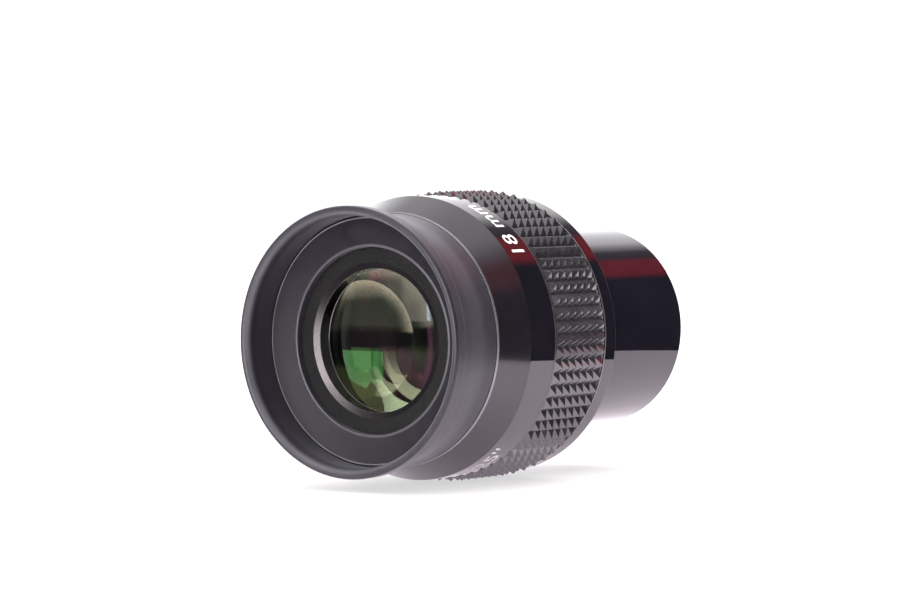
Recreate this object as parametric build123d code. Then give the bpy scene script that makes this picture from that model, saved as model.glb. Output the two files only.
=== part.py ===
from build123d import *
import os
from math import sin, cos, pi, sqrt

# Telescope eyepiece, 1.25 inch fit, flat-field type, about 18 mm focal length.
# Millimetres.  The optical axis is the Y axis: the observer's eye is towards -Y,
# the telescope is towards +Y, and +Z is up as the eyepiece lies on its side.
# The origin is on the axis, in the plane of the shoulder that stops on the
# focuser.  All stations below are measured from the front of the eyecup rim.

# ---------------------------------------------------------------- dimensions
SHOULDER = 41.0          # station of the shoulder plane, where Y = 0
TOTAL = 69.4             # station of the barrel mouth

# barrel (nosepiece) and its filter thread
BARREL_R = 15.875        # 1.25 inch / 2
BARREL_CHAMFER = 0.35
BARREL_BORE_R = 14.0
FILTER_THREAD_R = 14.25  # M28.5 x 0.6, modelled at its major radius
FILTER_THREAD_LEN = 4.8
SPIGOT_R = 15.30         # threaded spigot that screws into the housing
SPIGOT_FRONT = 37.0
BARREL_SEAT = 0.02       # shallow counterbore that the barrel seats in
BARREL_SEAT_R = 15.96

# housing
NECK_R = 17.7
NECK_FRONT = 7.64
NECK_GROOVE_R = 16.9
NECK_GROOVE_START = 9.6
CONE_FRONT = 12.33
CONE_FRONT_R = 19.50
CONE_EDGE = 0.22         # turned edge at the front of the cone
CONE_BACK = 17.62
BAND_R = 22.10           # marked band and rear band
GROOVE_FRONT = 24.07     # grip groove
GROOVE_BACK = 37.88
GROOVE_R = 20.87
REAR_CHAMFER = 0.40
CELL_BORE_R = 15.95
CELL_STOP = 35.0         # internal flange that the lens cell stops on
CELL_STOP_BACK = 36.6
CELL_STOP_R = 13.2

# rubber eyecup
RIM_R = 20.88            # outside of the rim bead
RIM_BACK = 2.45          # back of the rim bead
RIM_INNER_R = 19.15      # inside of the rim bead
CUP_INNER_R = 19.38      # inside of the thin wall behind the bead
CUP_WALL_R = 20.02       # outside of the thin wall at the bead
CUP_SPLIT = 5.6          # where the folding wall joins the fixed sleeve
CUP_SPLIT_R = 19.86      # outside of the wall there
CUP_FLOOR = 5.88         # raised floor inside the wall
CUP_FLOOR_R = 19.08
CUP_ROOT = 6.25          # bottom of the narrow groove between wall and floor
CUP_HOLE = 6.5
CUP_HOLE_R = 14.43
CUP_BACK = 12.29

# rubber grip
GRIP_ROWS = 66           # rows of pyramids around
GRIP_COLS = 7            # pyramids in a row
GRIP_PITCH = 1.84        # axial
GRIP_TIP_R = 22.80
GRIP_VALLEY_R = 21.70
GRIP_BORDER_R = 22.02
GRIP_INNER_R = 20.94
GRIP_FRONT = 24.29
GRIP_BACK = 37.68
GRIP_FIRST = 24.68       # base line of the first pyramid

# eye lens retaining ring
EYE_RING_R = 14.55
EYE_RING_FRONT = 7.47
EYE_RING_CHAMFER_R = 12.08
EYE_RING_BORE_R = 11.10
EYE_RING_BACK = 10.30

FIT = 0.03               # radial clearance of glass and threads in their seats


# ------------------------------------------------------------------- helpers
def y(station):
    return station - SHOULDER


def outline(points):
    """Closed face from (station, radius[, corner radius]) points."""
    pts = [(p[1], y(p[0]), p[2] if len(p) > 2 else 0.0) for p in points]
    n = len(pts)
    ends = []
    for i in range(n):
        px, py, pr = pts[i]
        ax, ay, _ = pts[i - 1]
        bx, by, _ = pts[(i + 1) % n]
        if pr <= 0:
            ends.append(((px, py), None, (px, py)))
            continue
        ux, uy = ax - px, ay - py
        vx, vy = bx - px, by - py
        lu, lv = sqrt(ux * ux + uy * uy), sqrt(vx * vx + vy * vy)
        ux, uy, vx, vy = ux / lu, uy / lu, vx / lv, vy / lv
        c = ux * vx + uy * vy
        half_tan = sqrt((1 - c) / (1 + c))          # tan of half the corner angle
        t = pr / half_tan
        sx, sy = ux + vx, uy + vy
        ls = sqrt(sx * sx + sy * sy)
        sx, sy = sx / ls, sy / ls
        dist = sqrt(t * t + pr * pr)
        mid = (px + sx * (dist - pr), py + sy * (dist - pr))
        ends.append(((px + ux * t, py + uy * t), mid, (px + vx * t, py + vy * t)))
    edges = []
    for i in range(n):
        first, mid, last = ends[i]
        if mid is not None:
            edges.append(ThreePointArc(first, mid, last))
        nxt = ends[(i + 1) % n][0]
        if abs(nxt[0] - last[0]) + abs(nxt[1] - last[1]) > 1e-6:
            edges.append(Line(last, nxt))
    return make_face(edges)


def turned(points):
    """Solid of revolution about the optical axis."""
    return revolve(outline(points), Axis.Y, 360)


def sag(r, radius):
    return radius - sqrt(radius * radius - r * r) if radius > 0 else radius + sqrt(radius * radius - r * r)


def lens(front, front_radius, back, back_radius, edge_r, bevel=0.25):
    """Lens from its two vertex stations, signed surface radii (positive when the
    centre of curvature is towards the telescope) and edge radius."""
    rb = edge_r - bevel
    f0, f1 = y(front), y(front + sag(rb, front_radius))
    fm = y(front + sag(rb / 2, front_radius))
    b0, b1 = y(back), y(back + sag(rb, back_radius))
    bm = y(back + sag(rb / 2, back_radius))
    edges = [
        Line((0, b0), (0, f0)),
        ThreePointArc((0, f0), (rb / 2, fm), (rb, f1)),
        Line((rb, f1), (edge_r, f1 + bevel)),
        Line((edge_r, f1 + bevel), (edge_r, b1 - bevel)),
        Line((edge_r, b1 - bevel), (rb, b1)),
        ThreePointArc((rb, b1), (rb / 2, bm), (0, b0)),
    ]
    return revolve(make_face(edges), Axis.Y, 360)


parts = {}

# ------------------------------------------------------------ rubber eyecup
# Fixed sleeve: grips the housing neck, snaps into its groove, and forms the
# floor around the eye lens.
parts["eyecup"] = turned([
    (CUP_SPLIT, CUP_INNER_R),
    (CUP_ROOT, CUP_INNER_R, 0.1),
    (CUP_ROOT, CUP_FLOOR_R, 0.1),
    (CUP_FLOOR, CUP_FLOOR_R, 0.18),
    (CUP_HOLE - 0.04, CUP_HOLE_R + 0.45, 0.3),
    (CUP_HOLE - 0.12, CUP_HOLE_R + 0.2, 0.12),
    (CUP_HOLE - 0.02, CUP_HOLE_R, 0.1),
    (NECK_FRONT - 0.02, CUP_HOLE_R),
    (NECK_FRONT - 0.02, NECK_R + 0.02),
    (NECK_GROOVE_START + 0.04, NECK_R + 0.02),
    (NECK_GROOVE_START + 0.04, NECK_GROOVE_R + 0.02),
    (CUP_BACK, NECK_GROOVE_R + 0.02),
    (CUP_BACK, 19.46, 0.12),
    (9.6, 19.27, 8.0),
    (CUP_SPLIT, CUP_SPLIT_R),
])

# Folding part: thin wall and thick rounded rim.  Wall and rim roll back over
# the sleeve for an observer with glasses.
parts["eyecup_lip"] = turned([
    (CUP_SPLIT, CUP_INNER_R),
    (CUP_SPLIT, CUP_SPLIT_R),
    (RIM_BACK + 0.45, CUP_WALL_R, 0.22),
    (RIM_BACK, RIM_R - 0.04, 0.35),
    (0.0, RIM_R, 0.7),
    (0.0, RIM_INNER_R, 1.02),
    (RIM_BACK - 0.25, RIM_INNER_R, 0.4),
    (RIM_BACK + 0.55, CUP_INNER_R, 0.4),
])

# -------------------------------------------------- eye lens and its ring
parts["eye_retaining_ring"] = turned([
    (EYE_RING_FRONT, EYE_RING_CHAMFER_R),
    (EYE_RING_FRONT, CUP_HOLE_R - 0.05),
    (NECK_FRONT + 0.05, CUP_HOLE_R - 0.05),
    (NECK_FRONT + 0.05, EYE_RING_R),
    (EYE_RING_BACK, EYE_RING_R),
    (EYE_RING_BACK, 11.45),
    (EYE_RING_FRONT + 0.83, EYE_RING_BORE_R),
    (EYE_RING_FRONT + 0.43, EYE_RING_BORE_R),
])

parts["eye_lens"] = lens(9.22, 60.0, 14.75, -40.0, 12.0)

# ----------------------------------------------------------- upper lens cell
cell_or = CELL_BORE_R - FIT
parts["lens_cell"] = turned([
    (NECK_FRONT + 0.02, EYE_RING_R + FIT),
    (NECK_FRONT + 0.02, cell_or - 0.2),
    (NECK_FRONT + 0.22, cell_or),
    (13.0, cell_or),
    (13.3, cell_or - 0.4),
    (30.7, cell_or - 0.4),
    (31.0, cell_or),
    (CELL_STOP - 0.02, cell_or),
    (CELL_STOP - 0.02, 14.0 + FIT),
    (16.0, 14.0 + FIT),
    (16.0, 11.3),
    (13.14, 11.3),
    (13.14, 12.0 + FIT),
    (EYE_RING_BACK + 0.05, 12.0 + FIT),
    (EYE_RING_BACK + 0.05, EYE_RING_R + FIT),
])

# cemented doublet: flint then crown
parts["doublet_flint_lens"] = lens(17.12, -90.0, 18.92, 30.0, 14.0)
parts["doublet_crown_lens"] = lens(18.93, 30.0, 27.30, -40.0, 14.0)
parts["lens_spacer_ring"] = turned([
    (25.12, 13.1), (25.12, 14.0), (29.66, 14.0), (29.66, 13.1),
])
parts["middle_lens"] = lens(27.75, 45.0, 33.0, -60.0, 14.0)
parts["cell_retaining_ring"] = turned([
    (31.68, 12.7), (31.68, 14.0), (34.2, 14.0), (34.2, 13.1),
])

# ------------------------------------------------------------------- housing
housing = turned([
    (NECK_FRONT, CELL_BORE_R),
    (NECK_FRONT, NECK_R - 0.2),
    (NECK_FRONT + 0.2, NECK_R),
    (NECK_GROOVE_START, NECK_R),
    (NECK_GROOVE_START, NECK_GROOVE_R),
    (CONE_FRONT, NECK_GROOVE_R),
    (CONE_FRONT, CONE_FRONT_R),
    (CONE_FRONT + CONE_EDGE, CONE_FRONT_R + CONE_EDGE),
    (CONE_BACK, BAND_R),
    (GROOVE_FRONT - 0.1, BAND_R),
    (GROOVE_FRONT, BAND_R - 0.1),
    (GROOVE_FRONT, GROOVE_R),
    (GROOVE_BACK, GROOVE_R),
    (GROOVE_BACK, BAND_R - 0.1),
    (GROOVE_BACK + 0.1, BAND_R),
    (SHOULDER - REAR_CHAMFER, BAND_R),
    (SHOULDER, BAND_R - REAR_CHAMFER),
    (SHOULDER, BARREL_SEAT_R),
    (SHOULDER - BARREL_SEAT, BARREL_SEAT_R),
    (SHOULDER - BARREL_SEAT, SPIGOT_R + 0.05),
    (CELL_STOP_BACK, SPIGOT_R + 0.05),
    (CELL_STOP_BACK, CELL_STOP_R),
    (CELL_STOP, CELL_STOP_R),
    (CELL_STOP, CELL_BORE_R),
])
# three radial tapped holes under the grip, for the screws that lock the cell
SCREW_STATION = 32.5
SCREW_R = 1.25
for k in range(3):
    hole = Cylinder(SCREW_R, 8.0).move(Location((0, 0, 18.0)))
    housing -= hole.moved(Location((0, y(SCREW_STATION), 0)) * Rot(0, 120 * k, 0))
parts["housing"] = housing

screw_body = Cylinder(SCREW_R - 0.02, 4.6).move(Location((0, 0, 18.25)))
socket = extrude(Plane.XY.offset(19.55) * RegularPolygon(0.75, 6), 2.0)
screw_body -= socket
parts["cell_lock_screws"] = Compound(children=[
    screw_body.moved(Location((0, y(SCREW_STATION), 0)) * Rot(0, 120 * k, 0)).solids()[0]
    for k in range(3)
])

# ------------------------------------------------------- knurled rubber grip
def ring_points(station, r, shift=0.0):
    step = 2 * pi / GRIP_ROWS
    return [
        (r * sin((i + shift) * step), y(station), r * cos((i + shift) * step))
        for i in range(GRIP_ROWS)
    ]


def polygon(points):
    return Face(Wire.make_polygon([Vector(*p) for p in points], close=True))


faces = []
rings = [
    ring_points(GRIP_FRONT, GRIP_BORDER_R),
    ring_points(GRIP_FIRST - 0.10, GRIP_BORDER_R),
]
rings += [ring_points(GRIP_FIRST + GRIP_PITCH * j, GRIP_VALLEY_R) for j in range(GRIP_COLS + 1)]
last_station = GRIP_FIRST + GRIP_PITCH * GRIP_COLS
rings += [
    ring_points(last_station + 0.05, GRIP_BORDER_R - 0.1),
    ring_points(GRIP_BACK, GRIP_BORDER_R - 0.1),
]
for j in range(len(rings) - 1):
    a, b = rings[j], rings[j + 1]
    pyramids = 2 <= j < 2 + GRIP_COLS
    tips = ring_points(GRIP_FIRST + GRIP_PITCH * (j - 2 + 0.5), GRIP_TIP_R, 0.5) if pyramids else None
    for i in range(GRIP_ROWS):
        k = (i + 1) % GRIP_ROWS
        if pyramids:
            t = tips[i]
            faces += [polygon([a[i], a[k], t]), polygon([a[k], b[k], t]),
                      polygon([b[k], b[i], t]), polygon([b[i], a[i], t])]
        else:
            faces.append(polygon([a[i], a[k], b[k], b[i]]))
inner_front = ring_points(GRIP_FRONT, GRIP_INNER_R)
inner_back = ring_points(GRIP_BACK, GRIP_INNER_R)
for i in range(GRIP_ROWS):
    k = (i + 1) % GRIP_ROWS
    faces.append(polygon([inner_front[k], inner_front[i], inner_back[i], inner_back[k]]))
    faces.append(polygon([rings[0][k], rings[0][i], inner_front[i], inner_front[k]]))
    faces.append(polygon([rings[-1][i], rings[-1][k], inner_back[k], inner_back[i]]))
parts["grip_ring"] = Solid(Shell(faces))

# -------------------------------------------------------------------- barrel
FIELD_CELL_FRONT = 45.9
parts["barrel"] = turned([
    (SPIGOT_FRONT, 13.5),
    (SPIGOT_FRONT, SPIGOT_R - 0.25),
    (SPIGOT_FRONT + 0.25, SPIGOT_R),
    (SHOULDER, SPIGOT_R),
    (SHOULDER, BARREL_R),
    (TOTAL - BARREL_CHAMFER, BARREL_R),
    (TOTAL, BARREL_R - BARREL_CHAMFER),
    (TOTAL, FILTER_THREAD_R),
    (TOTAL - FILTER_THREAD_LEN, FILTER_THREAD_R),
    (TOTAL - FILTER_THREAD_LEN, BARREL_BORE_R),
    (FIELD_CELL_FRONT, BARREL_BORE_R),
    (FIELD_CELL_FRONT, 12.6),
    (FIELD_CELL_FRONT - 1.5, 12.6),
    (FIELD_CELL_FRONT - 1.5, 13.5),
])

# ---------------------------------------------- field group inside the barrel
FR = 12.15               # radius of the field group glass
parts["field_lens_cell"] = turned([
    (FIELD_CELL_FRONT + 0.02, 11.6),
    (FIELD_CELL_FRONT + 0.02, BARREL_BORE_R - FIT),
    (61.4, BARREL_BORE_R - FIT),
    (61.6, BARREL_BORE_R - FIT - 0.2),
    (61.6, FR + FIT),
    (46.9, FR + FIT),
    (46.9, 11.6),
])
# stop with a knife edge at the focal plane
parts["field_stop_ring"] = turned([
    (46.92, 10.45),
    (46.92, FR),
    (47.55, FR),
    (47.55, 11.2),
    (47.10, 10.45),
])
parts["field_meniscus_lens"] = lens(49.50, -40.0, 52.50, -28.0, FR)
parts["field_spacer_ring"] = turned([
    (50.20, 11.2), (50.20, FR), (51.22, FR), (51.22, 11.2),
])
parts["field_doublet_crown_lens"] = lens(54.20, -26.0, 55.60, 40.0, FR)
parts["field_doublet_flint_lens"] = lens(55.61, 40.0, 58.60, 75.0, FR)
parts["field_retaining_ring"] = turned([
    (59.64, 11.2), (59.64, FR), (61.4, FR), (61.4, 11.7),
])

# -------------------------------------------------------------------- export
os.makedirs("parts", exist_ok=True)
for name, shape in parts.items():
    shape.label = name
    export_step(shape, os.path.join("parts", name + ".step"))
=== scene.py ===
import bpy
import bmesh
from math import sin, cos, pi, sqrt, ceil, radians, atan2, acos, tan
from mathutils import Vector, Matrix


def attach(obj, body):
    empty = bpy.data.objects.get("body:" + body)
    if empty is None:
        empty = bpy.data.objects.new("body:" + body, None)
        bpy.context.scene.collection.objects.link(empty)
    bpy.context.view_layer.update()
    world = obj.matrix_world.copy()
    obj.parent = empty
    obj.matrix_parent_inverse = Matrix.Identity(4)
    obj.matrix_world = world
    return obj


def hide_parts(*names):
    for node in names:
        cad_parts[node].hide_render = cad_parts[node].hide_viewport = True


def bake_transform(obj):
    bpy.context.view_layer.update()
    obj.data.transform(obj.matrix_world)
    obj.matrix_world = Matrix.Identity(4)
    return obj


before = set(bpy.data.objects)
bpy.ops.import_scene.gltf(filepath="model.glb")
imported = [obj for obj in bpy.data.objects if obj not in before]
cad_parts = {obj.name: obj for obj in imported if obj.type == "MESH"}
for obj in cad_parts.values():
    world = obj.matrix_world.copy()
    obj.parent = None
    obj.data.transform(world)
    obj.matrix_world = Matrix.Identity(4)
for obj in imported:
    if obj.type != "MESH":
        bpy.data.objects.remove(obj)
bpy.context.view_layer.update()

MM = 0.001
SHOULDER = 41.0          # station of the shoulder plane, where Y = 0
SEGMENTS = 288


def ya(station):
    return (station - SHOULDER) * MM


# ---------------------------------------------------------------- mesh helpers
def rounded(points):
    """Closed (station, radius[, fillet[, material]]) outline, with each fillet
    sampled and support points beside it.  Gives (station, radius, material of
    the segment that starts here)."""
    n = len(points)
    pts = [(p[0], p[1], p[2] if len(p) > 2 else 0.0, p[3] if len(p) > 3 else 0) for p in points]
    corners = []
    for i in range(n):
        px, py, pr, pm = pts[i]
        ax, ay = pts[i - 1][0], pts[i - 1][1]
        bx, by = pts[(i + 1) % n][0], pts[(i + 1) % n][1]
        if pr <= 0:
            corners.append([(px, py)])
            continue
        ux, uy, vx, vy = ax - px, ay - py, bx - px, by - py
        lu, lv = sqrt(ux * ux + uy * uy), sqrt(vx * vx + vy * vy)
        ux, uy, vx, vy = ux / lu, uy / lu, vx / lv, vy / lv
        c = max(-1.0, min(1.0, ux * vx + uy * vy))
        t = pr * sqrt((1 + c) / (1 - c))
        dist = sqrt(t * t + pr * pr)
        sx, sy = ux + vx, uy + vy
        ls = sqrt(sx * sx + sy * sy)
        cx, cy = px + sx / ls * dist, py + sy / ls * dist
        a0 = atan2(py + uy * t - cy, px + ux * t - cx)
        a1 = atan2(py + vy * t - cy, px + vx * t - cx)
        d = (a1 - a0 + pi) % (2 * pi) - pi
        k = max(3, int(ceil(abs(d) / radians(7.0 if pr > 0.3 else 15.0))))
        corners.append([(cx + pr * cos(a0 + d * j / k), cy + pr * sin(a0 + d * j / k)) for j in range(k + 1)])
    out = []
    for i in range(n):
        arc = corners[i]
        m = pts[i][3]
        for j, p in enumerate(arc):
            out.append((p[0], p[1], m if j == len(arc) - 1 or True else m))
        # support points on the straight run that follows
        q0, q1 = arc[-1], corners[(i + 1) % n][0]
        dx, dy = q1[0] - q0[0], q1[1] - q0[1]
        length = sqrt(dx * dx + dy * dy)
        if length > 0.05:
            s = min(0.06, length * 0.25)
            if len(arc) > 1:
                out.append((q0[0] + dx / length * s, q0[1] + dy / length * s, m))
            if len(corners[(i + 1) % n]) > 1:
                out.append((q1[0] - dx / length * s, q1[1] - dy / length * s, m))
    return out


def spin(name, outline, materials, segments=SEGMENTS, sharp=28.0, phase=0.0):
    """Closed surface of revolution about the optical axis, in metres."""
    pts = rounded(outline)
    n = len(pts)
    verts, faces, mats = [], [], []
    ring = []
    for a, r, m in pts:
        if r < 1e-9:
            ring.append([len(verts)])
            verts.append((0.0, ya(a), 0.0))
        else:
            ring.append(list(range(len(verts), len(verts) + segments)))
            for k in range(segments):
                t = 2 * pi * (k + phase) / segments
                verts.append((r * MM * cos(t), ya(a), r * MM * sin(t)))
    for i in range(n):
        A, B = ring[i], ring[(i + 1) % n]
        if len(A) == 1 and len(B) == 1:
            continue
        for k in range(segments):
            k2 = (k + 1) % segments
            if len(A) == 1:
                faces.append((A[0], B[k], B[k2]))
            elif len(B) == 1:
                faces.append((A[k], B[0], A[k2]))
            else:
                faces.append((A[k], B[k], B[k2], A[k2]))
            mats.append(pts[i][2])
    return finish_mesh(name, verts, faces, mats, materials, sharp)


def finish_mesh(name, verts, faces, mats, materials, sharp=28.0, smooth=True):
    mesh = bpy.data.meshes.new(name)
    mesh.from_pydata(verts, [], faces)
    for m in materials:
        mesh.materials.append(m)
    if mats:
        mesh.polygons.foreach_set("material_index", mats)
    bm = bmesh.new()
    bm.from_mesh(mesh)
    bmesh.ops.remove_doubles(bm, verts=bm.verts, dist=1e-8)
    bmesh.ops.recalc_face_normals(bm, faces=bm.faces)
    if bm.calc_volume(signed=True) < 0:
        bmesh.ops.reverse_faces(bm, faces=bm.faces)
    bm.to_mesh(mesh)
    bm.free()
    if smooth:
        mesh.polygons.foreach_set("use_smooth", [True] * len(mesh.polygons))
        mesh.set_sharp_from_angle(angle=radians(sharp))
    mesh.update()
    obj = bpy.data.objects.new(name, mesh)
    bpy.context.scene.collection.objects.link(obj)
    return obj


# ------------------------------------------------------------ material helpers
class Surface:
    """Small wrapper round a material's node tree."""

    def __init__(self, name):
        self.mat = bpy.data.materials.new(name)
        self.mat.use_nodes = True
        self.tree = self.mat.node_tree
        self.tree.nodes.clear()
        self.out = self.add("ShaderNodeOutputMaterial")
        self.where = self.add("ShaderNodeTexCoord").outputs["Object"]

    def add(self, kind, inputs=None, **props):
        node = self.tree.nodes.new(kind)
        for key, value in props.items():
            setattr(node, key, value)
        for key, value in (inputs or {}).items():
            socket = node.inputs[key]
            if isinstance(value, bpy.types.NodeSocket):
                self.tree.links.new(value, socket)
            else:
                socket.default_value = value
        return node

    def noise(self, size_mm, detail=2.0, rough=0.5, vector=None, distortion=0.0):
        return self.add("ShaderNodeTexNoise", {
            "Vector": vector if vector is not None else self.where, "Scale": 1000.0 / size_mm,
            "Detail": detail, "Roughness": rough, "Distortion": distortion}).outputs["Fac"]

    def remap(self, value, a, b, c, d, smooth=False):
        return self.add("ShaderNodeMapRange", {
            "Value": value, "From Min": a, "From Max": b, "To Min": c, "To Max": d},
            interpolation_type="SMOOTHSTEP" if smooth else "LINEAR").outputs["Result"]

    def math(self, op, a, b=0.0, clamp=False):
        return self.add("ShaderNodeMath", {0: a, 1: b}, operation=op, use_clamp=clamp).outputs["Value"]

    def mix(self, fac, a, b):
        node = self.add("ShaderNodeMix", data_type="RGBA")
        for index, value in ((0, fac), (6, a), (7, b)):
            if isinstance(value, bpy.types.NodeSocket):
                self.tree.links.new(value, node.inputs[index])
            else:
                node.inputs[index].default_value = value
        return node.outputs[2]

    def bump(self, height, strength, distance_mm, normal=None):
        inputs = {"Height": height, "Strength": strength, "Distance": distance_mm * MM}
        if normal is not None:
            inputs["Normal"] = normal
        return self.add("ShaderNodeBump", inputs).outputs["Normal"]

    def specks(self, cell_mm, chance, size):
        """Sparse round dust specks: 1 on a speck, 0 elsewhere."""
        cell = self.add("ShaderNodeTexVoronoi", {"Vector": self.where, "Scale": 1000.0 / cell_mm,
                                                 "Randomness": 1.0}, feature="F1")
        near = self.remap(cell.outputs["Distance"], size * 0.6, size, 1.0, 0.0)
        split = self.add("ShaderNodeSeparateColor", {"Color": cell.outputs["Color"]})
        chosen = self.math("LESS_THAN", split.outputs["Red"], chance)
        return self.math("MULTIPLY", near, chosen)

    def principled(self, **inputs):
        node = self.add("ShaderNodeBsdfPrincipled", {k.replace("_", " "): v for k, v in inputs.items()})
        self.tree.links.new(node.outputs[0], self.out.inputs["Surface"])
        return node


def rgb(r, g, b):
    return (r, g, b, 1.0)


def band_mask(s, station, radius, half):
    """1 on the circle at this station and radius, falling to 0 at half mm."""
    xyz = s.add("ShaderNodeSeparateXYZ", {"Vector": s.where})
    r = s.math("SQRT", s.math("ADD", s.math("MULTIPLY", xyz.outputs["X"], xyz.outputs["X"]),
                              s.math("MULTIPLY", xyz.outputs["Z"], xyz.outputs["Z"])))
    dr = s.math("SUBTRACT", r, radius * MM)
    dy = s.math("SUBTRACT", xyz.outputs["Y"], ya(station))
    d = s.math("SQRT", s.math("ADD", s.math("MULTIPLY", dr, dr), s.math("MULTIPLY", dy, dy)))
    return s.remap(d, 0.0, half * MM, 1.0, 0.0, smooth=True)


def rubber(name, base, rough, grain=1.0, dust=0.012, sheen=0.25, level=0.5, ior=1.5, painted_highlights=False):
    s = Surface(name)
    patch = s.noise(3.5, 3.0, 0.6)
    fine = s.noise(0.16, 3.0, 0.65)
    colour = s.mix(s.remap(patch, 0.35, 0.7, 0.0, 1.0), rgb(*[c * 0.82 for c in base]), rgb(*[c * 1.25 for c in base]))
    colour = s.mix(s.remap(fine, 0.45, 0.75, 0.0, 0.35), colour, rgb(*[c * 1.9 + 0.002 for c in base]))
    dusty = s.specks(1.3, dust, 0.045)
    colour = s.mix(s.math("MULTIPLY", dusty, 0.85), colour, rgb(0.36, 0.35, 0.36))
    if painted_highlights:
        # painted highlights: the raised floor's edge and the rim of the hole are made paler in colour to stand in for
        # light catching them
        edge = s.math("MULTIPLY", band_mask(s, 5.90, 19.0, 0.22), s.remap(s.noise(5.0, 2.0, 0.6), 0.3, 0.6, 0.6, 1.0))
        colour = s.mix(edge, colour, rgb(0.50, 0.49, 0.52))
        lip = s.math("MULTIPLY", band_mask(s, 6.45, 14.66, 0.34), 0.9)
        colour = s.mix(lip, colour, rgb(0.125, 0.12, 0.135))
        # painted highlight along the crest of the rim: a paler band, varied by noise, that stands in for light catching
        # it
        painted_crest_highlight = s.math("MULTIPLY", band_mask(s, 0.50, 19.85, 1.00), s.remap(s.noise(7.0, 2.0, 0.5), 0.3, 0.7, 0.60, 0.85))
        colour = s.mix(painted_crest_highlight, colour, rgb(0.150, 0.146, 0.165))
    roughness = s.math("ADD", s.remap(patch, 0.3, 0.7, rough - 0.04, rough + 0.05), s.remap(fine, 0.3, 0.7, -0.03, 0.03))
    normal = s.bump(fine, 0.35 * grain, 0.012)
    normal = s.bump(s.noise(0.9, 2.0, 0.5), 0.12, 0.02, normal)
    s.principled(Base_Color=colour, Roughness=roughness, Normal=normal, Specular_IOR_Level=level, IOR=ior,
                 Sheen_Weight=sheen, Sheen_Roughness=0.45, Sheen_Tint=rgb(0.80, 0.78, 0.87))
    return s.mat


def anodised(name, base, rough, ior, grain, grain_mm=0.12, lines=0.0, dust=0.01):
    s = Surface(name)
    fine = s.noise(grain_mm, 2.5, 0.6)
    patch = s.noise(6.0, 2.0, 0.5)
    colour = s.mix(s.remap(patch, 0.3, 0.7, 0.0, 1.0), rgb(*base), rgb(*[c * 1.35 for c in base]))
    sparkle = s.remap(fine, 0.60, 0.78, 0.0, min(0.9, grain * 1.6))
    colour = s.mix(sparkle, colour, rgb(0.06, 0.058, 0.062))
    dusty = s.specks(1.6, dust, 0.035)
    colour = s.mix(s.math("MULTIPLY", dusty, 0.7), colour, rgb(0.25, 0.24, 0.24))
    # turned lines round the axis: only the station matters
    axis = s.add("ShaderNodeSeparateXYZ", {"Vector": s.where}).outputs["Y"]
    turned = s.add("ShaderNodeTexNoise", {"W": s.math("MULTIPLY", axis, 1000.0), "Scale": 9.0, "Detail": 3.0,
                                          "Roughness": 0.6}, noise_dimensions="1D").outputs["Fac"]
    roughness = s.math("ADD", s.remap(fine, 0.3, 0.7, rough * 0.85, rough * 1.15),
                       s.math("ADD", s.remap(patch, 0.3, 0.7, 0.0, rough * 0.15), s.math("MULTIPLY", dusty, 0.4)))
    normal = s.bump(fine, grain, 0.004)
    if lines:
        normal = s.bump(turned, lines, 0.004, normal)
    s.principled(Base_Color=colour, Roughness=roughness, Normal=normal, IOR=ior, Specular_IOR_Level=0.5)
    return s.mat


MAT = {}
# the cup rubber carries painted highlights: paler bands on the floor edge, the hole rim and the rim crest
MAT["cup"] = rubber("cup_rubber_moulded", (0.0116, 0.0102, 0.0166), 0.42, dust=0.035, sheen=0.24, level=0.60, painted_highlights=True)
MAT["grip"] = rubber("grip_rubber_knurled", (0.021, 0.0192, 0.0232), 0.20, grain=0.12, dust=0.02, sheen=0.03, level=1.0, ior=1.76)
MAT["satin"] = anodised("housing_satin_cone", (0.0082, 0.0068, 0.0100), 0.14, 1.80, 0.55, 0.13)
MAT["gloss"] = anodised("housing_polished_band", (0.0056, 0.0050, 0.0078), 0.03, 1.74, 0.03, 0.2, lines=0.05)
MAT["barrel"] = anodised("barrel_polished", (0.0058, 0.0052, 0.0088), 0.035, 1.62, 0.02, 0.2, lines=0.05, dust=0.006)
MAT["black"] = anodised("cell_blackened", (0.006, 0.006, 0.007), 0.5, 1.5, 0.5, 0.1, lines=0.4, dust=0.0)
MAT["thread"] = anodised("barrel_thread_blackened", (0.008, 0.008, 0.009), 0.32, 1.6, 0.2, 0.1, lines=0.2, dust=0.0)


def edge_metal(name, base, rough):
    """Turned edge where the anodising is thin and bright."""
    s = Surface(name)
    fine = s.noise(0.10, 3.0, 0.7)
    colour = s.mix(s.remap(fine, 0.35, 0.7, 0.0, 1.0), rgb(*[c * 0.55 for c in base]), rgb(*base))
    normal = s.bump(fine, 0.5, 0.006)
    s.principled(Base_Color=colour, Metallic=0.75, Roughness=s.remap(fine, 0.3, 0.7, rough * 0.8, rough * 1.25),
                 Normal=normal)
    return s.mat


MAT["edge"] = edge_metal("turned_edge", (0.37, 0.36, 0.37), 0.30)


def blasted(name):
    """Bead-blasted black anodised face: coarse speckle."""
    s = Surface(name)
    fine = s.noise(0.17, 3.0, 0.75)
    coarse = s.noise(0.34, 2.0, 0.6)
    colour = s.mix(s.remap(fine, 0.56, 0.70, 0.0, 1.0), rgb(0.0015, 0.0015, 0.002), rgb(0.055, 0.051, 0.057))
    normal = s.bump(fine, 0.9, 0.03)
    normal = s.bump(coarse, 0.5, 0.03, normal)
    s.principled(Base_Color=colour, Roughness=s.remap(fine, 0.3, 0.75, 0.5, 0.34), Normal=normal, IOR=1.5)
    return s.mat


MAT["blasted"] = blasted("ring_bead_blasted")


def chamfer_metal(name):
    """Turned bright chamfer, lightly speckled."""
    s = Surface(name)
    fine = s.noise(0.10, 2.5, 0.65)
    colour = s.mix(s.remap(fine, 0.36, 0.66, 0.0, 1.0), rgb(0.065, 0.058, 0.062), rgb(0.130, 0.12, 0.127))
    normal = s.bump(fine, 0.35, 0.010)
    s.principled(Base_Color=colour, Metallic=0.9, Roughness=s.remap(fine, 0.3, 0.7, 0.34, 0.24), Normal=normal)
    return s.mat


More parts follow.
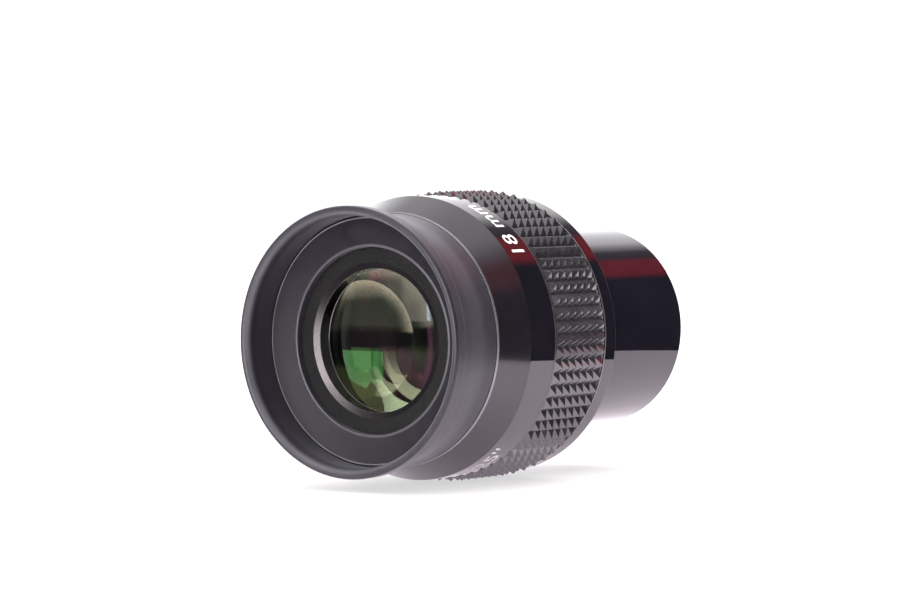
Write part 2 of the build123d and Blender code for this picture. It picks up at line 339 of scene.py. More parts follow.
MAT["chamfer"] = chamfer_metal("ring_turned_chamfer")
MAT["line"] = edge_metal("ring_bright_edge", (0.55, 0.54, 0.56), 0.30)
MAT["bore"] = anodised("ring_polished_bore", (0.0016, 0.0016, 0.002), 0.10, 1.5, 0.05, 0.15, lines=0.2, dust=0.0)


def screw_metal(name):
    s = Surface(name)
    fine = s.noise(0.12, 3.0, 0.6)
    s.principled(Base_Color=s.mix(fine, rgb(0.05, 0.05, 0.05), rgb(0.16, 0.16, 0.16)), Metallic=0.9,
                 Roughness=s.remap(fine, 0.3, 0.7, 0.3, 0.45), Normal=s.bump(fine, 0.3, 0.01))
    return s.mat


MAT["screw"] = screw_metal("screw_black_oxide")


def paint(name):
    """White pad-printed marking."""
    s = Surface(name)
    fine = s.noise(0.12, 3.0, 0.6)
    s.principled(Base_Color=s.mix(s.remap(fine, 0.35, 0.75, 0.0, 1.0), rgb(0.80, 0.80, 0.79), rgb(0.62, 0.62, 0.61)),
                 Roughness=s.remap(fine, 0.3, 0.7, 0.35, 0.5), Normal=s.bump(fine, 0.2, 0.004))
    return s.mat


MAT["paint"] = paint("marking_white_print")


def glass(name, ior, tint, reflect, body=(0.985, 0.995, 0.985)):
    """Polished, multicoated glass face.  The coating sets the colour and the
    strength of its reflection; the glass sets how much it bends light."""
    s = Surface(name)
    haze = s.noise(2.2, 3.0, 0.6)
    facing = s.add("ShaderNodeLayerWeight", {"Blend": 0.5}).outputs["Facing"]
    grazing = s.remap(s.math("POWER", facing, 5.0), 0.0, 1.0, reflect, 0.6)
    gloss = s.add("ShaderNodeBsdfGlossy", {
        "Color": s.mix(s.remap(haze, 0.3, 0.7, 0.0, 1.0), rgb(*tint), rgb(*[c * 0.93 for c in tint])),
        "Roughness": s.remap(haze, 0.4, 0.8, 0.0, 0.008)})
    through = s.add("ShaderNodeBsdfRefraction", {"Color": rgb(*body), "Roughness": 0.0, "IOR": ior})
    mixed = s.add("ShaderNodeMixShader", {0: grazing, 1: through.outputs[0], 2: gloss.outputs[0]})
    s.tree.links.new(mixed.outputs[0], s.out.inputs["Surface"])
    return s.mat


def cement(name, tint=(0.99, 0.995, 0.99)):
    """Cemented face: both glasses meet here, so light goes straight on."""
    s = Surface(name)
    haze = s.noise(3.0, 2.0, 0.5)
    clear = s.add("ShaderNodeBsdfTransparent", {"Color": s.mix(haze, rgb(*tint), rgb(*[c * 0.985 for c in tint]))})
    s.tree.links.new(clear.outputs[0], s.out.inputs["Surface"])
    return s.mat


def ground_edge(name):
    """Ground and inked edge of a lens."""
    s = Surface(name)
    fine = s.noise(0.15, 3.0, 0.6)
    s.principled(Base_Color=s.mix(fine, rgb(0.006, 0.006, 0.006), rgb(0.02, 0.02, 0.02)),
                 Roughness=s.remap(fine, 0.3, 0.7, 0.55, 0.75), Normal=s.bump(fine, 0.3, 0.01))
    return s.mat


def bevel_edge(name):
    """Ground bevel round the eye lens: catches the light as a thin line."""
    s = Surface(name)
    fine = s.noise(0.12, 3.0, 0.6)
    s.principled(Base_Color=s.mix(fine, rgb(0.07, 0.072, 0.078), rgb(0.15, 0.155, 0.165)),
                 Roughness=s.remap(fine, 0.3, 0.7, 0.35, 0.5), Normal=s.bump(fine, 0.2, 0.01))
    return s.mat


MAT["glass_eye"] = glass("glass_coated_neutral", 1.62, (1.0, 0.97, 0.90), 0.045)
MAT["glass_eye_back"] = glass("glass_coated_warm", 1.62, (1.0, 0.95, 0.84), 0.075)
MAT["glass_dim"] = glass("glass_coated_pale_green", 1.66, (0.92, 1.0, 0.88), 0.20)
MAT["glass_plum"] = glass("glass_coated_plum", 1.62, (1.0, 0.20, 0.60), 0.10)
MAT["glass_deep"] = glass("glass_coated_deep_green", 1.66, (0.30, 1.0, 0.40), 0.06)
MAT["glass_inner"] = glass("glass_coated_olive", 1.62, (0.80, 0.90, 0.45), 0.03)
MAT["glass_field"] = glass("glass_coated_violet", 1.62, (0.66, 0.55, 0.85), 0.035)
MAT["cement"] = cement("glass_cemented_face")
MAT["inked"] = ground_edge("glass_inked_edge")
MAT["bevel"] = bevel_edge("glass_ground_bevel")

# ------------------------------------------------------------------ the eyecup
# One continuous rubber moulding: thick rim, thin wall, narrow groove, raised
# floor, hole lip, and the sleeve that grips the housing neck.
lip = [(2.5 * (1 - sin(t)), 20.30 - 1.06 * cos(t)) for t in [pi / 2 * (1 - k / 14) for k in range(15)]]
cup = spin("eyecup_rubber", lip + [
    (3.0, 19.26), (3.6, 19.28), (4.2, 19.30), (4.8, 19.32), (5.4, 19.35),
    (6.25, 19.38, 0.10), (6.25, 19.08, 0.10),
    (5.88, 19.08, 0.18), (6.46, 14.88, 0.30), (6.38, 14.63, 0.12), (6.48, 14.43, 0.10),
    (7.62, 14.43), (7.62, 17.72), (9.64, 17.72), (9.64, 16.92), (12.29, 16.92), (12.29, 19.46, 0.12),
    (9.6, 19.27, 8.0), (5.6, 19.86), (5.0, 19.895), (4.2, 19.942), (3.6, 19.978), (2.9, 20.02, 0.22),
    (2.45, 20.84, 0.35), (0.0, 20.88, 0.56),
], [MAT["cup"]])
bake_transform(cup)
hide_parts("eyecup", "eyecup_lip")

# ----------------------------------------------------------------- the housing
CONE, GLOSS, BLACK, EDGE = 0, 1, 2, 3
housing = spin("housing_body", [
    (7.64, 15.95, 0, BLACK), (7.64, 17.5, 0, BLACK), (7.84, 17.7, 0, BLACK), (9.60, 17.7, 0, BLACK),
    (9.60, 16.9, 0, BLACK), (12.33, 16.9, 0, CONE),
    (12.33, 19.50, 0.05, EDGE), (12.55, 19.72, 0.05, CONE),
    (17.62, 22.10, 0.10, GLOSS), (23.97, 22.10, 0.04, EDGE), (24.07, 22.00, 0.02, BLACK),
    (24.07, 20.87, 0, BLACK), (37.88, 20.87, 0, BLACK), (37.88, 22.00, 0.02, EDGE), (37.98, 22.10, 0.04, GLOSS),
    (40.60, 22.10, 0.06, EDGE), (41.00, 21.70, 0.06, GLOSS),
    (41.00, 15.96, 0, BLACK), (40.98, 15.96, 0, BLACK), (40.98, 15.35, 0, BLACK), (36.60, 15.35, 0, BLACK),
    (36.60, 13.20, 0, BLACK), (35.00, 13.20, 0, BLACK), (35.00, 15.95, 0, BLACK),
], [MAT["satin"], MAT["gloss"], MAT["black"], MAT["edge"]])
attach(housing, "eyepiece_body")
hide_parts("housing")


# -------------------------------------------------------------------- the grip
def grip(name):
    """Moulded ring with 66 x 7 square pyramids.  Every face of a pyramid is
    flat; the ridges, tips and valleys between them are narrow bevels."""
    rows, cols = 66, 7
    pitch, first = 1.84, 24.68
    tip, valley, border, inner = 22.87, 21.70, 22.02, 20.94
    front, back = 24.29, 37.68
    ridge, root = 0.050, 0.035                  # half widths of the bevels, mm
    step = 2 * pi / rows

    def at(station, r, i):
        return Vector((r * sin(i * step), station - SHOULDER, r * cos(i * step)))

    verts, faces, normals = [], [], {}

    def point(p):
        verts.append((p.x * MM, p.y * MM, p.z * MM))
        return len(verts) - 1

    cells = {}
    for c in range(cols):
        a0, a1 = first + pitch * c, first + pitch * (c + 1)
        for i in range(rows):
            corner = [at(a0, valley, i), at(a0, valley, i + 1), at(a1, valley, i + 1), at(a1, valley, i)]
            top = at((a0 + a1) / 2, tip, i + 0.5)
            facets = []
            for k in range(4):
                A, B = corner[k], corner[(k + 1) % 4]
                area2 = (B - A).cross(top - A).length
                ab, bt, ta = (B - A).length, (top - B).length, (A - top).length
                near_a = (root * ab / area2, ridge * ta / area2)       # weights of top and B
                near_b = (root * ab / area2, ridge * bt / area2)       # weights of top and A
                pa = top * near_a[0] + B * near_a[1] + A * (1 - near_a[0] - near_a[1])
                pb = top * near_b[0] + A * near_b[1] + B * (1 - near_b[0] - near_b[1])
                wb, wa = ridge * ta / area2, ridge * bt / area2
                pt = B * wb + A * wa + top * (1 - wa - wb)
                ids = (point(pa), point(pb), point(pt))
                n = (B - A).cross(top - A).normalized()
                mid = (A + B + top) / 3
                if n.dot(Vector((mid.x, 0, mid.z))) < 0:
                    n = -n
                for v in ids:
                    normals[v] = n
                facets.append(ids)
                faces.append(ids)
            for k in range(4):
                f, g = facets[k], facets[(k + 1) % 4]
                faces.append((f[1], g[0], g[2], f[2]))
            faces.append(tuple(f[2] for f in facets))
            cells[(i, c)] = facets
    for c in range(cols):
        for i in range(rows):
            here, right = cells[(i, c)], cells[((i + 1) % rows, c)]
            faces.append((here[1][0], here[1][1], right[3][0], right[3][1]))
            if c + 1 < cols:
                up = cells[(i, c + 1)]
                faces.append((here[2][0], here[2][1], up[0][0], up[0][1]))
            if c > 0:
                left = cells[((i - 1) % rows, c)]
                dl, d = cells[((i - 1) % rows, c - 1)], cells[(i, c - 1)]
                faces.append((here[0][0], here[3][1], left[1][0], left[0][1],
                              dl[2][0], dl[1][1], d[3][0], d[2][1]))
    # plain borders, the two ends and the inside
    last = first + pitch * cols
    front_line = [point(at(first, valley, i)) for i in range(rows)]
    back_line = [point(at(last, valley, i)) for i in range(rows)]
    for i in range(rows):
        i2, im = (i + 1) % rows, (i - 1) % rows
        f, fp = cells[(i, 0)], cells[(im, 0)]
        faces.append((f[0][0], f[0][1], front_line[i2], front_line[i]))
        faces.append((fp[0][1], fp[1][0], f[3][1], f[0][0], front_line[i]))
        b, bp = cells[(i, cols - 1)], cells[(im, cols - 1)]
        faces.append((b[2][1], b[2][0], back_line[i2], back_line[i]))
        faces.append((bp[2][0], bp[1][1], b[3][0], b[2][1], back_line[i]))
    fine = 4
    loops = []

    def ring_of(station, r):
        out = []
        for i in range(rows * fine):
            out.append(point(at(station, r, i / fine)))
        return out

    outline = [(first - 0.02, valley + 0.10), (first - 0.07, border - 0.05), (first - 0.11, border),
               (front + 0.10, border), (front + 0.03, border - 0.03), (front, border - 0.10), (front, inner),
               (back, inner), (back, border - 0.18), (back - 0.03, border - 0.12), (last + 0.07, border - 0.12),
               (last + 0.04, border - 0.16), (last + 0.02, valley + 0.10)]
    loops = [ring_of(a, r) for a, r in outline]
    for a, b in zip(loops, loops[1:]):
        for i in range(rows * fine):
            i2 = (i + 1) % (rows * fine)
            faces.append((a[i], a[i2], b[i2], b[i]))
    for line, loop in ((front_line, loops[0]), (back_line, loops[-1])):
        for i in range(rows):
            base = i * fine
            ids = [loop[(base + k) % (rows * fine)] for k in range(fine + 1)]
            faces.append((line[i], *ids, line[(i + 1) % rows]))
    mesh = bpy.data.meshes.new(name)
    mesh.from_pydata(verts, [], faces)
    mesh.materials.append(MAT["grip"])
    bm = bmesh.new()
    bm.from_mesh(mesh)
    bmesh.ops.recalc_face_normals(bm, faces=bm.faces)
    if bm.calc_volume(signed=True) < 0:
        bmesh.ops.reverse_faces(bm, faces=bm.faces)
    open_edges = sum(1 for e in bm.edges if len(e.link_faces) != 2)
    print("grip open edges", open_edges, "faces", len(bm.faces))
    bm.to_mesh(mesh)
    bm.free()
    mesh.polygons.foreach_set("use_smooth", [True] * len(mesh.polygons))
    mesh.set_sharp_from_angle(angle=radians(75.0))
    custom = []
    for loop in mesh.loops:
        custom.append(normals.get(loop.vertex_index, Vector((0, 0, 0))))
    mesh.normals_split_custom_set(custom)
    obj = bpy.data.objects.new(name, mesh)
    bpy.context.scene.collection.objects.link(obj)
    return obj


grip_obj = grip("grip_knurled_rubber")
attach(grip_obj, "eyepiece_body")
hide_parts("grip_ring")


# ------------------------------------------------------------------ the barrel
def barrel(name):
    """Push-fit barrel with a helical M28.5 x 0.6 thread inside its mouth."""
    outer = rounded([
        (44.40, 13.5, 0, 1), (37.0, 13.5, 0, 1), (37.0, 15.05, 0, 1), (37.25, 15.30, 0, 1),
        (41.0, 15.30, 0, 0), (41.0, 15.875, 0.02, 0),
        (69.05, 15.875, 0.06, 2), (69.40, 15.525, 0.05, 0), (69.40, 14.45, 0.0, 2),
    ])[:]
    # the outline runs from inside the spigot round the outside to the mouth,
    # then down the thread and back along the bore
    seg = SEGMENTS
    pts = [(a, r, m, None) for a, r, m in outer]
    mouth, pitch = 69.40, 0.60
    top, root = 13.93, 14.25
    steps = int(4.8 / 0.05)
    for s in range(steps + 1):
        a = mouth - 4.8 * s / steps
        pts.append((a, None, 1, s / steps))
    pts.append((64.60, 14.0, 1, None))
    pts.append((45.90, 14.0, 1, None))
    pts.append((45.90, 12.6, 1, None))
    pts.append((44.40, 12.6, 1, None))
    verts, faces, mats = [], [], []
    for a, r, m, th in pts:
        for k in range(seg):
            t = 2 * pi * k / seg
            if th is None:
                rr = r
            else:
                turns = (mouth - a) / pitch + k / seg
                f = turns % 1.0
                tri = 1 - abs(2 * f - 1)                      # 0..1..0
                tri = min(1.0, max(0.0, (tri - 0.08) / 0.80))
                depth = root + (top - root) * tri
                run_in = min(1.0, (mouth - a) / 0.45)
                run_out = min(1.0, max(0.0, (a - 64.60) / 0.5))
                amount = min(run_in, run_out)
                rr = depth * amount + 14.30 * (1 - run_in) * (1 - 0.0) + root * (1 - amount - (1 - run_in)) \
                    if amount < 1 else depth
                rr = min(max(rr, 13.93), 14.45)
            verts.append((rr * MM * cos(t), ya(a), rr * MM * sin(t)))
    n = len(pts)
    for i in range(n):
        i2 = (i + 1) % n
        for k in range(seg):
            k2 = (k + 1) % seg
            faces.append((i * seg + k, i2 * seg + k, i2 * seg + k2, i * seg + k2))
            mats.append(pts[i][2])
    return finish_mesh(name, verts, faces, mats, [MAT["barrel"], MAT["thread"], MAT["edge"]], sharp=30.0)


barrel_obj = barrel("barrel_nosepiece")
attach(barrel_obj, "eyepiece_body")
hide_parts("barrel")

# ---------------------------------------------------------- eye retaining ring
ring = spin("eye_ring_blasted", [
    (7.47, 12.08, 0.05, 0), (7.47, 14.38, 0, 0), (7.69, 14.38, 0, 0), (7.69, 14.55, 0, 2), (10.30, 14.55, 0, 2),
    (10.30, 11.25, 0, 2), (10.21, 11.03, 0, 3), (10.12, 11.10, 0, 4), (7.95, 11.10, 0, 3), (7.90, 11.13, 0, 1),
], [MAT["blasted"], MAT["chamfer"], MAT["black"], MAT["line"], MAT["bore"]])
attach(ring, "eyepiece_body")
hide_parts("eye_retaining_ring")


# ------------------------------------------------------------------ the lenses
def sag(r, radius):
    return radius - sqrt(radius * radius - r * r) if radius > 0 else radius + sqrt(radius * radius - r * r)


def lens(name, front, fr, back, br, edge, mats, bevel=0.25, slot="optical_glass"):
    """mats: material indices of (front, front bevel, edge, back bevel, back)."""
    table, idx = mats
    rb = edge - bevel
    n = 40
    outline = []
    for j in range(n + 1):
        r = rb * j / n
        outline.append((front + sag(r, fr), r, 0, idx[0] if j < n else idx[1]))
    outline.append((front + sag(rb, fr) + bevel, edge, 0, idx[2]))
    outline.append((back + sag(rb, br) - bevel, edge, 0, idx[3]))
    for j in range(n, -1, -1):
        r = rb * j / n
        outline.append((back + sag(r, br), r, 0, idx[4]))
    obj = spin(name, outline, table, segments=192, sharp=20.0)
    return obj


def place_lens(obj, node):
    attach(obj, "eyepiece_body")
    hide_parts(node)


place_lens(lens("eye_lens_glass", 9.22, 60.0, 14.75, -40.0, 12.0,
                ([MAT["glass_eye"], MAT["glass_eye_back"], MAT["inked"], MAT["bevel"]], (0, 3, 2, 2, 1))),
           "eye_lens")
place_lens(lens("doublet_flint_glass", 17.12, -90.0, 18.92, 30.0, 14.0,
                ([MAT["glass_dim"], MAT["cement"], MAT["inked"]], (0, 2, 2, 2, 1))), "doublet_flint_lens")
place_lens(lens("doublet_crown_glass", 18.93, 30.0, 27.30, -40.0, 14.0,
                ([MAT["glass_plum"], MAT["cement"], MAT["inked"]], (1, 2, 2, 2, 0))), "doublet_crown_lens")
place_lens(lens("middle_lens_glass", 27.75, 45.0, 33.0, -60.0, 14.0,
                ([MAT["glass_deep"], MAT["glass_inner"], MAT["inked"]], (0, 2, 2, 2, 1))), "middle_lens")
place_lens(lens("field_meniscus_glass", 49.5, -40.0, 52.5, -28.0, 12.15,
                ([MAT["glass_field"], MAT["glass_inner"], MAT["inked"]], (0, 2, 2, 2, 1))), "field_meniscus_lens")
place_lens(lens("field_crown_glass", 54.2, -26.0, 55.6, 40.0, 12.15,
                ([MAT["glass_inner"], MAT["cement"], MAT["inked"]], (0, 2, 2, 2, 1))), "field_doublet_crown_lens")
place_lens(lens("field_flint_glass", 55.61, 40.0, 58.6, 75.0, 12.15,
                ([MAT["glass_field"], MAT["cement"], MAT["inked"]], (1, 2, 2, 2, 0))), "field_doublet_flint_lens")

# CAD nodes that stay: their shapes are right, they only need a finish
for node in ("lens_cell", "cell_retaining_ring", "lens_spacer_ring", "field_lens_cell", "field_stop_ring",
             "field_spacer_ring", "field_retaining_ring"):
    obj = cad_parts[node]
    obj.data.materials.clear()
    obj.data.materials.append(MAT["black"])
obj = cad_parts["cell_lock_screws"]
obj.data.materials.clear()
obj.data.materials.append(MAT["screw"])


# ----------------------------------------------------- generic printed marking
def marking(name, text, height_mm, station, phi_start, radius=22.10):
    """Raised print wrapped round the band.  It reads towards +Z with the tops
    of the figures towards the eye end."""
    curve = bpy.data.curves.new(name, "FONT")
    curve.body = text
    curve.size = height_mm / 0.73 * MM
    curve.space_character = 1.04
    curve.offset = 0.02 * MM
    curve.extrude = 0.010 * MM
    curve.resolution_u = 6
    holder = bpy.data.objects.new(name, curve)
    bpy.context.scene.collection.objects.link(holder)
    bpy.context.view_layer.update()
    mesh = bpy.data.meshes.new_from_object(holder.evaluated_get(bpy.context.evaluated_depsgraph_get()))
    bpy.data.objects.remove(holder)
    bpy.data.curves.remove(curve)
    mesh.name = name
    bm = bmesh.new()
    bm.from_mesh(mesh)
    bmesh.ops.remove_doubles(bm, verts=bm.verts, dist=1e-7)
    xs = [v.co.x for v in bm.verts]
    x0, x1 = min(xs), max(xs)
    cut = x0 + 0.35 * MM
    while cut < x1:
        bmesh.ops.bisect_plane(bm, geom=bm.verts[:] + bm.edges[:] + bm.faces[:], dist=1e-9,
                               plane_co=(cut, 0, 0), plane_no=(1, 0, 0))
        cut += 0.35 * MM
    for v in bm.verts:
        x, y, z = v.co.x - x0, v.co.y, v.co.z
        phi = radians(phi_start) + x / (radius * MM)
        r = radius * MM + 0.004 * MM + z
        v.co = (r * cos(phi), ya(station) - (y - height_mm * MM / 2), r * sin(phi))
    bmesh.ops.triangulate(bm, faces=[f for f in bm.faces if len(f.verts) > 4])
    bmesh.ops.recalc_face_normals(bm, faces=bm.faces)
    bm.to_mesh(mesh)
    bm.free()
    mesh.materials.clear()
    mesh.materials.append(MAT["paint"])
    obj = bpy.data.objects.new(name, mesh)
    bpy.context.scene.collection.objects.link(obj)
    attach(obj, "eyepiece_body")
    return obj, (x1 - x0) / (radius * MM) * 180 / pi


mark, span = marking("marking_focal_length", "18 mm  65°", 3.3, 20.8, 38.0)
mark2, span2 = marking("marking_barrel_size", "1.25″", 3.3, 20.8, -72.0)

# ------------------------------------------------------------------- the stage
scene = bpy.context.scene
FLOOR = -0.02281


def paper(name, outline, camera, diffuse, polish):
    mesh = bpy.data.meshes.new(name)
    mesh.from_pydata([(x, y, FLOOR) for x, y in outline], [], [tuple(range(len(outline)))])
    obj = bpy.data.objects.new(name, mesh)
    scene.collection.objects.link(obj)
    s = Surface(name + "_paper")
    grain = s.noise(8.0, 2.0, 0.5)
    diff = s.add("ShaderNodeBsdfDiffuse", {"Color": s.mix(grain, rgb(0.88, 0.82, 0.87), rgb(0.92, 0.86, 0.91))})
    if camera:
        # the shot is exposed so that the paper burns out and only a faint shadow is left
        bright = s.add("ShaderNodeEmission", {"Color": rgb(1, 1, 1), "Strength": 1.15})
        fade = s.math("MULTIPLY", s.add("ShaderNodeLightPath").outputs["Is Camera Ray"], 0.52)
        diff = s.add("ShaderNodeMixShader", {0: fade, 1: diff.outputs[0], 2: bright.outputs[0]})
    s.tree.links.new(diff.outputs[0], s.out.inputs["Surface"])
    mesh.materials.append(s.mat)
    obj.visible_camera = camera
    obj.visible_diffuse = diffuse
    obj.visible_glossy = polish
    obj.visible_transmission = False
    obj.visible_shadow = False
    return obj


# the endless white floor, and the sheet of paper that the polish mirrors
paper("floor_white", [(-40, -40), (40, -40), (40, 40), (-40, 40)], True, True, False)
paper("floor_sheet", [(0.105, -0.11), (0.0945, -0.022), (0.075, 0.058), (0.055, 0.075), (-0.06, 0.17),
                      (-0.6, 0.62), (-3.0, 2.0), (-3.0, -0.10), (-0.30, -0.050), (-0.020, -0.050)], False, False, True)


def area(name, where, aim, size_x, size_y, watts, colour=(1, 1, 1), glossy=True, transmission=False):
    data = bpy.data.lights.new(name, "AREA")
    data.shape = "RECTANGLE"
    data.size, data.size_y = size_x, size_y
    data.energy = watts
    data.color = colour
    obj = bpy.data.objects.new(name, data)
    scene.collection.objects.link(obj)
    obj.location = where
    obj.rotation_euler = (Vector(aim) - Vector(where)).to_track_quat("-Z", "Y").to_euler()
    obj.visible_camera = False
    obj.visible_glossy = glossy
    obj.visible_transmission = transmission
    return obj


area("softbox_top", (-0.10, 0.28, 0.80), (0, 0.0, 0), 1.40, 1.20, 20.0, (1.0, 0.99, 0.98), glossy=False)
area("softbox_front_left", (-0.46, -0.70, 0.34), (0, -0.03, 0), 0.34, 0.24, 2.0, (1.0, 0.99, 0.97), glossy=False)

# The room.  White to the camera, an even glow to matt surfaces, and to the
# polished ones a dark studio with a white backdrop, a red edge and a pale top.
world = bpy.data.worlds.new("studio")
scene.world = world
world.use_nodes = True
wt = world.node_tree
wt.nodes.clear()
w_out = wt.nodes.new("ShaderNodeOutputWorld")
path = wt.nodes.new("ShaderNodeLightPath")
direction = wt.nodes.new("ShaderNodeTexCoord").outputs["Generated"]


def wnode(kind, inputs=None, **props):
    node = wt.nodes.new(kind)
    for key, value in props.items():
        setattr(node, key, value)
    for key, value in (inputs or {}).items():
        if isinstance(value, bpy.types.NodeSocket):
            wt.links.new(value, node.inputs[key])
        else:
            node.inputs[key].default_value = value
    return node


def background(colour, strength):
    b = wnode("ShaderNodeBackground", {"Color": colour if isinstance(colour, bpy.types.NodeSocket) else rgb(*colour),
                                       "Strength": strength})
    return b.outputs[0]


def blob(towards, outer, inner, colour, strength):
    """Soft round patch of light in a direction, from outer to inner degrees."""
    d = Vector(towards).normalized()
    dot = wnode("ShaderNodeVectorMath", {0: direction, 1: d}, operation="DOT_PRODUCT").outputs["Value"]
    fac = wnode("ShaderNodeMapRange", {"Value": dot, "From Min": cos(radians(outer)), "From Max": cos(radians(inner)),
                                       "To Min": 0.0, "To Max": strength}, interpolation_type="SMOOTHSTEP").outputs[0]
    return background(colour, fac)


def aim(az, el):
    """Direction from a heading (0 = -Y, growing towards -X) and a height, in degrees."""
    az, el = radians(az), radians(el)
    return Vector((-sin(az) * cos(el), -cos(az) * cos(el), sin(el)))


def along(d):
    return wnode("ShaderNodeVectorMath", {0: direction, 1: d}, operation="DOT_PRODUCT").outputs["Value"]


def smooth(value, lo, hi, a=0.0, b=1.0):
    return wnode("ShaderNodeMapRange", {"Value": value, "From Min": lo, "From Max": hi, "To Min": a, "To Max": b},
                 interpolation_type="SMOOTHSTEP").outputs[0]


def times(*masks):
    out = masks[0]
    for m in masks[1:]:
        out = wnode("ShaderNodeMath", {0: out, 1: m}, operation="MULTIPLY").outputs[0]
    return out


def cone(d, outer, inner):
    return smooth(along(d), cos(radians(outer)), cos(radians(inner)))


def outside(d, outer, inner):
    return smooth(along(d), cos(radians(outer)), cos(radians(inner)), 1.0, 0.0)


def above(el, soft):
    h = sin(radians(soft)) / 2
    return smooth(along(Vector((0, 0, 1))), sin(radians(el)) - h, sin(radians(el)) + h)


def below(el, soft):
    h = sin(radians(soft)) / 2
    return smooth(along(Vector((0, 0, 1))), sin(radians(el)) - h, sin(radians(el)) + h, 1.0, 0.0)


def pane(corners, soft):
    """1 inside a flat-sided window given by headings and heights."""
    c = [aim(*p) for p in corners]
    mid = sum(c, Vector((0, 0, 0)))
    out = None
    for i in range(len(c)):
        n = c[i].cross(c[(i + 1) % len(c)]).normalized()
        if n.dot(mid) < 0:
            n = -n
        m = smooth(along(n), 0.0, soft)
        out = m if out is None else times(out, m)
    return out


def lit(mask, colour):
    return background(colour, mask)


def add(a, b):
    return wnode("ShaderNodeAddShader", {0: a, 1: b}).outputs[0]


def switch(test, no, yes):
    return wnode("ShaderNodeMixShader", {0: test, 1: no, 2: yes}).outputs[0]


# sectors round the +Y axis, which is how the turned bands mirror the backdrop
xyz = wnode("ShaderNodeSeparateXYZ", {0: direction})
angle = wnode("ShaderNodeMath", {0: xyz.outputs["Z"], 1: xyz.outputs["X"]}, operation="ARCTAN2").outputs[0]
turn = wnode("ShaderNodeMapRange", {"Value": angle, "From Min": 0.0, "From Max": pi, "To Min": 0.0, "To Max": 1.0}).outputs[0]
ramp = wnode("ShaderNodeValToRGB", {0: turn})
stops = [(0.0, (0.0, 0.0, 0.0)), (59.0, (0.0, 0.0, 0.0)), (67.0, (0.34, 0.012, 0.012)), (84.0, (0.30, 0.014, 0.014)),
         (91.0, (0.05, 0.035, 0.037)), (100.0, (0.07, 0.065, 0.07)), (106.0, (0.28, 0.27, 0.28)), (118.0, (0.72, 0.70, 0.71)),
         (150.0, (0.85, 0.84, 0.85)), (180.0, (0.95, 0.95, 0.95))]
elements = ramp.color_ramp.elements
while len(elements) > 1:
    elements.remove(elements[-1])
elements[0].position = 0.0
elements[0].color = rgb(*stops[0][1])
for deg, colour in stops[1:]:
    e = elements.new(deg / 180.0)
    e.color = rgb(*colour)
behind = wnode("ShaderNodeMapRange", {"Value": xyz.outputs["Y"], "From Min": 0.30, "From Max": 0.62, "To Min": 0.0,
                                      "To Max": 2.2}, interpolation_type="SMOOTHSTEP").outputs[0]
room = background(ramp.outputs[0], behind)
room = add(room, background((0.9, 0.9, 1.0), 0.02))
room = add(room, blob((-0.12, -0.05, 0.99), 50, 22, (1.0, 0.94, 1.0), 1.3))       # pale ceiling
room = add(room, blob((0.70, 0.10, 0.70), 16, 4, (1.0, 0.22, 0.16), 0.35))        # red glow on the cone
room = add(room, blob((-0.93, 0.32, 0.15), 28, 10, (1.0, 0.98, 0.97), 1.6))       # white wall on the left
room = add(room, blob((0.18, -0.97, 0.10), 27, 10, (1.0, 0.97, 1.0), 5.5))        # lit wall behind the camera
room = add(room, blob((-0.03, -0.87, 0.49), 22, 8, (1.0, 0.98, 0.97), 1.8))       # window above the camera
room = add(room, blob((-0.50, -0.83, 0.26), 11, 5, (1.0, 0.95, 0.86), 1.2))       # small softbox, front left
room = add(room, lit(times(cone(aim(12, 12), 20, 16.5), above(2.4, 0.6)), (1.9, 1.75, 1.62)))
room = add(room, lit(pane([(19.6, 2.6), (20.9, 2.6), (21.8, 8.0), (20.8, 8.0)], 0.004), (4.0, 6.0, 9.0)))

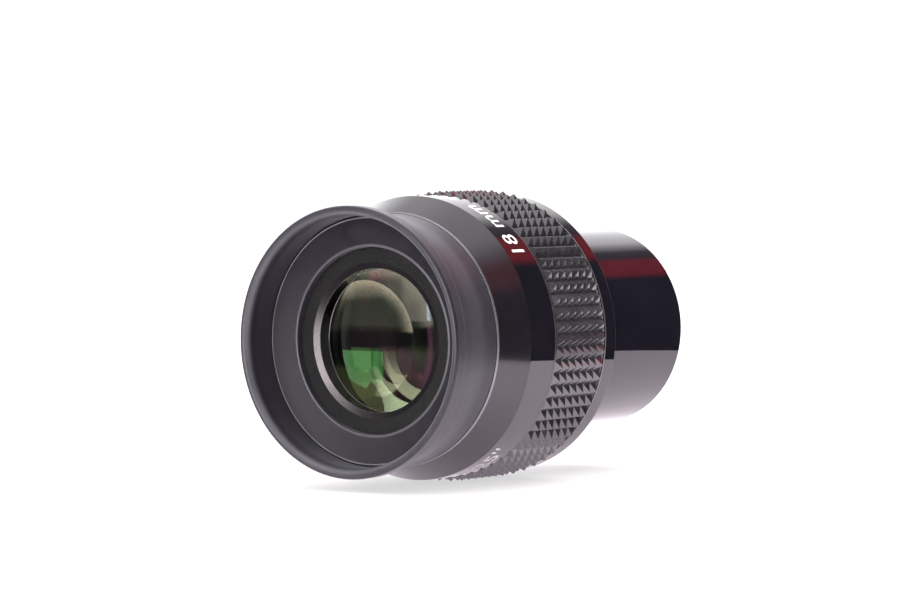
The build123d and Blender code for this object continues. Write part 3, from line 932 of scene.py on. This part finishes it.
# What the light that comes back out of the glass has seen: a dark room with a
# horizon, white paper close under the lens, and a tall window high in front.
inside = background((0.9, 0.9, 1.05), 0.028)
floor_side = below(-9.0, 2.5)
inside = add(inside, lit(floor_side, (0.11, 0.135, 0.10)))
inside = add(inside, lit(times(outside(aim(8, -10), 58, 32), cone(aim(8, -10), 82, 52), floor_side, smooth(along(aim(60, 0)), -0.03, 0.03)),
                         (4.0, 3.65, 2.95)))
inside = add(inside, lit(times(below(-41, 8), cone(aim(20, -50), 40, 25)), (1.1, 1.0, 0.82)))
inside = add(inside, lit(pane([(-11, 4.3), (12, 4.3), (12.5, 21), (8, 27.5), (-8, 21)], 0.012), (0.40, 1.05, 0.38)))
inside = add(inside, lit(pane([(12.2, 4.3), (20, 4.3), (21, 24), (12.2, 22)], 0.012), (0.22, 0.80, 0.25)))
height = along(Vector((0, 0, 1)))
inside = add(inside, lit(times(cone(aim(54, 0), 34.2, 33.6), outside(aim(54, 0), 26.4, 25.8), above(4.3, 1.0),
                               smooth(height, sin(radians(4)), sin(radians(30)), 0.15, 1.0)), (2.0, 1.95, 1.45)))
inside = add(inside, lit(times(outside(aim(49, -1), 36.5, 35.8), outside(aim(-11, 40), 26.3, 25.6), above(21.0, 3.0),
                               cone(aim(33, 30), 24, 20), smooth(along(aim(98, 0)), 0.0, 0.5, 0.25, 1.0)),
                         (3.2, 3.6, 2.5)))
inside = add(inside, lit(times(above(23.0, 2.0), cone(aim(-11, 40), 26, 25)), (0.26, 0.32, 0.14)))
inside = add(inside, lit(times(cone(aim(54, 0), 25.6, 25.0), above(4.3, 1.0)), (0.17, 0.10, 0.13)))
inside = add(inside, blob((0.0, 1.0, 0.0), 60, 20, (1.0, 1.0, 1.0), 0.8))
glow = background((1.0, 1.0, 1.0), 1.25)
white = background((1, 1, 1), 1.6)
seen = switch(path.outputs["Is Transmission Ray"], room, inside)
seen = switch(path.outputs["Is Diffuse Ray"], seen, glow)
seen = switch(path.outputs["Is Camera Ray"], seen, white)
wt.links.new(seen, w_out.inputs["Surface"])
world.cycles.sampling_method = "NONE"

# ------------------------------------------------------------------ the camera
cam_data = bpy.data.cameras.new("camera")
cam_data.lens = 169.56
cam_data.sensor_width = 36.0
cam_data.sensor_fit = "HORIZONTAL"
cam_data.clip_start = 0.02
cam_data.clip_end = 200.0
cam = bpy.data.objects.new("camera", cam_data)
scene.collection.objects.link(cam)
cam.matrix_world = Matrix((
    (0.80841, -0.02467, 0.58810, 0.39166),
    (0.58862, 0.03388, -0.80770, -0.55202),
    (0.0, 0.99912, 0.04191, 0.03352),
    (0.0, 0.0, 0.0, 1.0),
))
scene.camera = cam

scene.view_settings.view_transform = "Standard"
scene.view_settings.look = "None"
scene.view_settings.exposure = 0.0
scene.view_settings.gamma = 1.0
